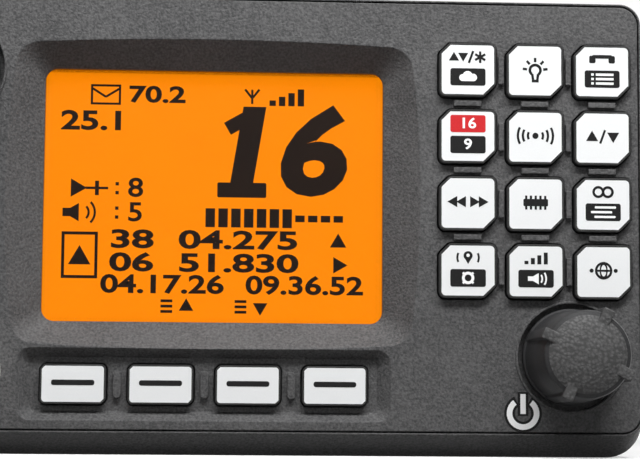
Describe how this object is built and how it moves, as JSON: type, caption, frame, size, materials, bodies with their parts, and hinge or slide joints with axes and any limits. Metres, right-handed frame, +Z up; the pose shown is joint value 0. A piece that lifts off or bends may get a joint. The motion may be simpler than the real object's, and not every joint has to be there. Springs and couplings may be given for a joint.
{
  "type": "vhf marine radio",
  "caption": "Fixed-mount marine radio: dark moulded front with a hooded orange display, white keys, grip knobs and a slotted speaker, on a finned cast chassis.",
  "frame": {"origin": "middle of the underside, halfway from the knobs' faces to the end of the cable glands", "axes": "+X to the right as seen from the front, +Y from the front to the back, +Z up; the front faces -Y"},
  "size_m": [0.18, 0.1412, 0.082],
  "materials": {
    "case_plastic": "fine moulded texture",
    "lens": "clear hard-coated window",
    "display": "orange backlit display",
    "pale_plastic": "satin",
    "rubber": "matt",
    "knob": "coarse grip texture",
    "steel": "plated",
    "cloth": "woven acoustic cloth",
    "cone": "pressed paper",
    "magnet": "ferrite",
    "bright_metal": "nickel plate",
    "black_plastic": "moulded",
    "key_plastic": "satin, printed",
    "red_plastic": "moulded",
    "board": "solder mask",
    "cast_metal": "powder coat"
  },
  "bodies": {
    "case": {"front_bezel": "case_plastic", "front_panel": "case_plastic", "display_lens": "lens", "lcd_module": "display", "backlight": "pale_plastic", "keypad_mat": "rubber", "soft_key_mat": "rubber", "channel_encoder": "steel", "volume_encoder": "steel", "speaker_cloth": "cloth", "speaker_frame": "steel", "speaker_cone": "cone", "speaker_magnet": "magnet", "mic_socket": "bright_metal", "mic_contacts": "black_plastic", "distress_hinge_pin": "steel", "control_board": "board", "main_board": "board", "board_screws": "steel", "main_board_screws": "steel", "chassis_screws": "steel", "case_gasket": "rubber", "rear_chassis": "cast_metal", "rf_shield": "steel", "power_module": "black_plastic", "ribbon_cable": "pale_plastic", "antenna_socket": "bright_metal", "antenna_contact": "pale_plastic", "power_gland": "rubber", "data_gland": "rubber", "bracket_insert_left": "bright_metal", "bracket_insert_right": "bright_metal"},
    "key_1": {"key_1": "key_plastic"},
    "key_2": {"key_2": "key_plastic"},
    "key_3": {"key_3": "key_plastic"},
    "key_4": {"key_4": "key_plastic"},
    "key_5": {"key_5": "key_plastic"},
    "key_6": {"key_6": "key_plastic"},
    "key_7": {"key_7": "key_plastic"},
    "key_8": {"key_8": "key_plastic"},
    "key_9": {"key_9": "key_plastic"},
    "key_10": {"key_10": "key_plastic"},
    "key_11": {"key_11": "key_plastic"},
    "key_12": {"key_12": "key_plastic"},
    "soft_key_1": {"soft_key_1": "key_plastic"},
    "soft_key_2": {"soft_key_2": "key_plastic"},
    "soft_key_3": {"soft_key_3": "key_plastic"},
    "soft_key_4": {"soft_key_4": "key_plastic"},
    "distress_key": {"distress_key": "key_plastic"},
    "channel_rotor": {"channel_rotor": "pale_plastic"},
    "channel_knob": {"channel_knob": "knob", "channel_shaft": "steel"},
    "volume_rotor": {"volume_rotor": "pale_plastic"},
    "volume_knob": {"volume_knob": "knob", "volume_shaft": "steel"},
    "distress_cover": {"distress_cover": "red_plastic"}
  },
  "joints": [
    {"name": "key_1_press", "type": "slide", "parent": "case", "child": "key_1", "axis": [0, 1, 0], "range_m": [0, 0.0008], "stiffness_N_per_m": 800, "springref_m": -0.0005},
    {"name": "key_2_press", "type": "slide", "parent": "case", "child": "key_2", "axis": [0, 1, 0], "range_m": [0, 0.0008], "stiffness_N_per_m": 800, "springref_m": -0.0005},
    {"name": "key_3_press", "type": "slide", "parent": "case", "child": "key_3", "axis": [0, 1, 0], "range_m": [0, 0.0008], "stiffness_N_per_m": 800, "springref_m": -0.0005},
    {"name": "key_4_press", "type": "slide", "parent": "case", "child": "key_4", "axis": [0, 1, 0], "range_m": [0, 0.0008], "stiffness_N_per_m": 800, "springref_m": -0.0005},
    {"name": "key_5_press", "type": "slide", "parent": "case", "child": "key_5", "axis": [0, 1, 0], "range_m": [0, 0.0008], "stiffness_N_per_m": 800, "springref_m": -0.0005},
    {"name": "key_6_press", "type": "slide", "parent": "case", "child": "key_6", "axis": [0, 1, 0], "range_m": [0, 0.0008], "stiffness_N_per_m": 800, "springref_m": -0.0005},
    {"name": "key_7_press", "type": "slide", "parent": "case", "child": "key_7", "axis": [0, 1, 0], "range_m": [0, 0.0008], "stiffness_N_per_m": 800, "springref_m": -0.0005},
    {"name": "key_8_press", "type": "slide", "parent": "case", "child": "key_8", "axis": [0, 1, 0], "range_m": [0, 0.0008], "stiffness_N_per_m": 800, "springref_m": -0.0005},
    {"name": "key_9_press", "type": "slide", "parent": "case", "child": "key_9", "axis": [0, 1, 0], "range_m": [0, 0.0008], "stiffness_N_per_m": 800, "springref_m": -0.0005},
    {"name": "key_10_press", "type": "slide", "parent": "case", "child": "key_10", "axis": [0, 1, 0], "range_m": [0, 0.0008], "stiffness_N_per_m": 800, "springref_m": -0.0005},
    {"name": "key_11_press", "type": "slide", "parent": "case", "child": "key_11", "axis": [0, 1, 0], "range_m": [0, 0.0008], "stiffness_N_per_m": 800, "springref_m": -0.0005},
    {"name": "key_12_press", "type": "slide", "parent": "case", "child": "key_12", "axis": [0, 1, 0], "range_m": [0, 0.0008], "stiffness_N_per_m": 800, "springref_m": -0.0005},
    {"name": "soft_key_1_press", "type": "slide", "parent": "case", "child": "soft_key_1", "axis": [0, 1, 0], "range_m": [0, 0.0008], "stiffness_N_per_m": 800, "springref_m": -0.0005},
    {"name": "soft_key_2_press", "type": "slide", "parent": "case", "child": "soft_key_2", "axis": [0, 1, 0], "range_m": [0, 0.0008], "stiffness_N_per_m": 800, "springref_m": -0.0005},
    {"name": "soft_key_3_press", "type": "slide", "parent": "case", "child": "soft_key_3", "axis": [0, 1, 0], "range_m": [0, 0.0008], "stiffness_N_per_m": 800, "springref_m": -0.0005},
    {"name": "soft_key_4_press", "type": "slide", "parent": "case", "child": "soft_key_4", "axis": [0, 1, 0], "range_m": [0, 0.0008], "stiffness_N_per_m": 800, "springref_m": -0.0005},
    {"name": "distress_key_press", "type": "slide", "parent": "case", "child": "distress_key", "axis": [0, 1, 0], "range_m": [0, 0.0008], "stiffness_N_per_m": 800, "springref_m": -0.0005},
    {"name": "channel_turn", "type": "hinge", "parent": "case", "child": "channel_rotor", "pos_m": [0.0764, -0.0536, 0.0176], "axis": [0, 1, 0], "continuous": true},
    {"name": "channel_push", "type": "slide", "parent": "channel_rotor", "child": "channel_knob", "axis": [0, 1, 0], "range_m": [0, 0.0005], "stiffness_N_per_m": 2000, "springref_m": -0.0005},
    {"name": "volume_turn", "type": "hinge", "parent": "case", "child": "volume_rotor", "pos_m": [-0.0336, -0.0536, 0.0678], "axis": [0, 1, 0], "continuous": true},
    {"name": "volume_push", "type": "slide", "parent": "volume_rotor", "child": "volume_knob", "axis": [0, 1, 0], "range_m": [0, 0.0005], "stiffness_N_per_m": 2000, "springref_m": -0.0005},
    {"name": "distress_cover_lift", "type": "hinge", "parent": "case", "child": "distress_cover", "pos_m": [-0.0665, -0.0546, 0.0174], "axis": [-1, 0, 0], "range_deg": [0, 100], "stiffness_Nm_per_rad": 0.004, "springref_deg": -20.05}
  ]
}
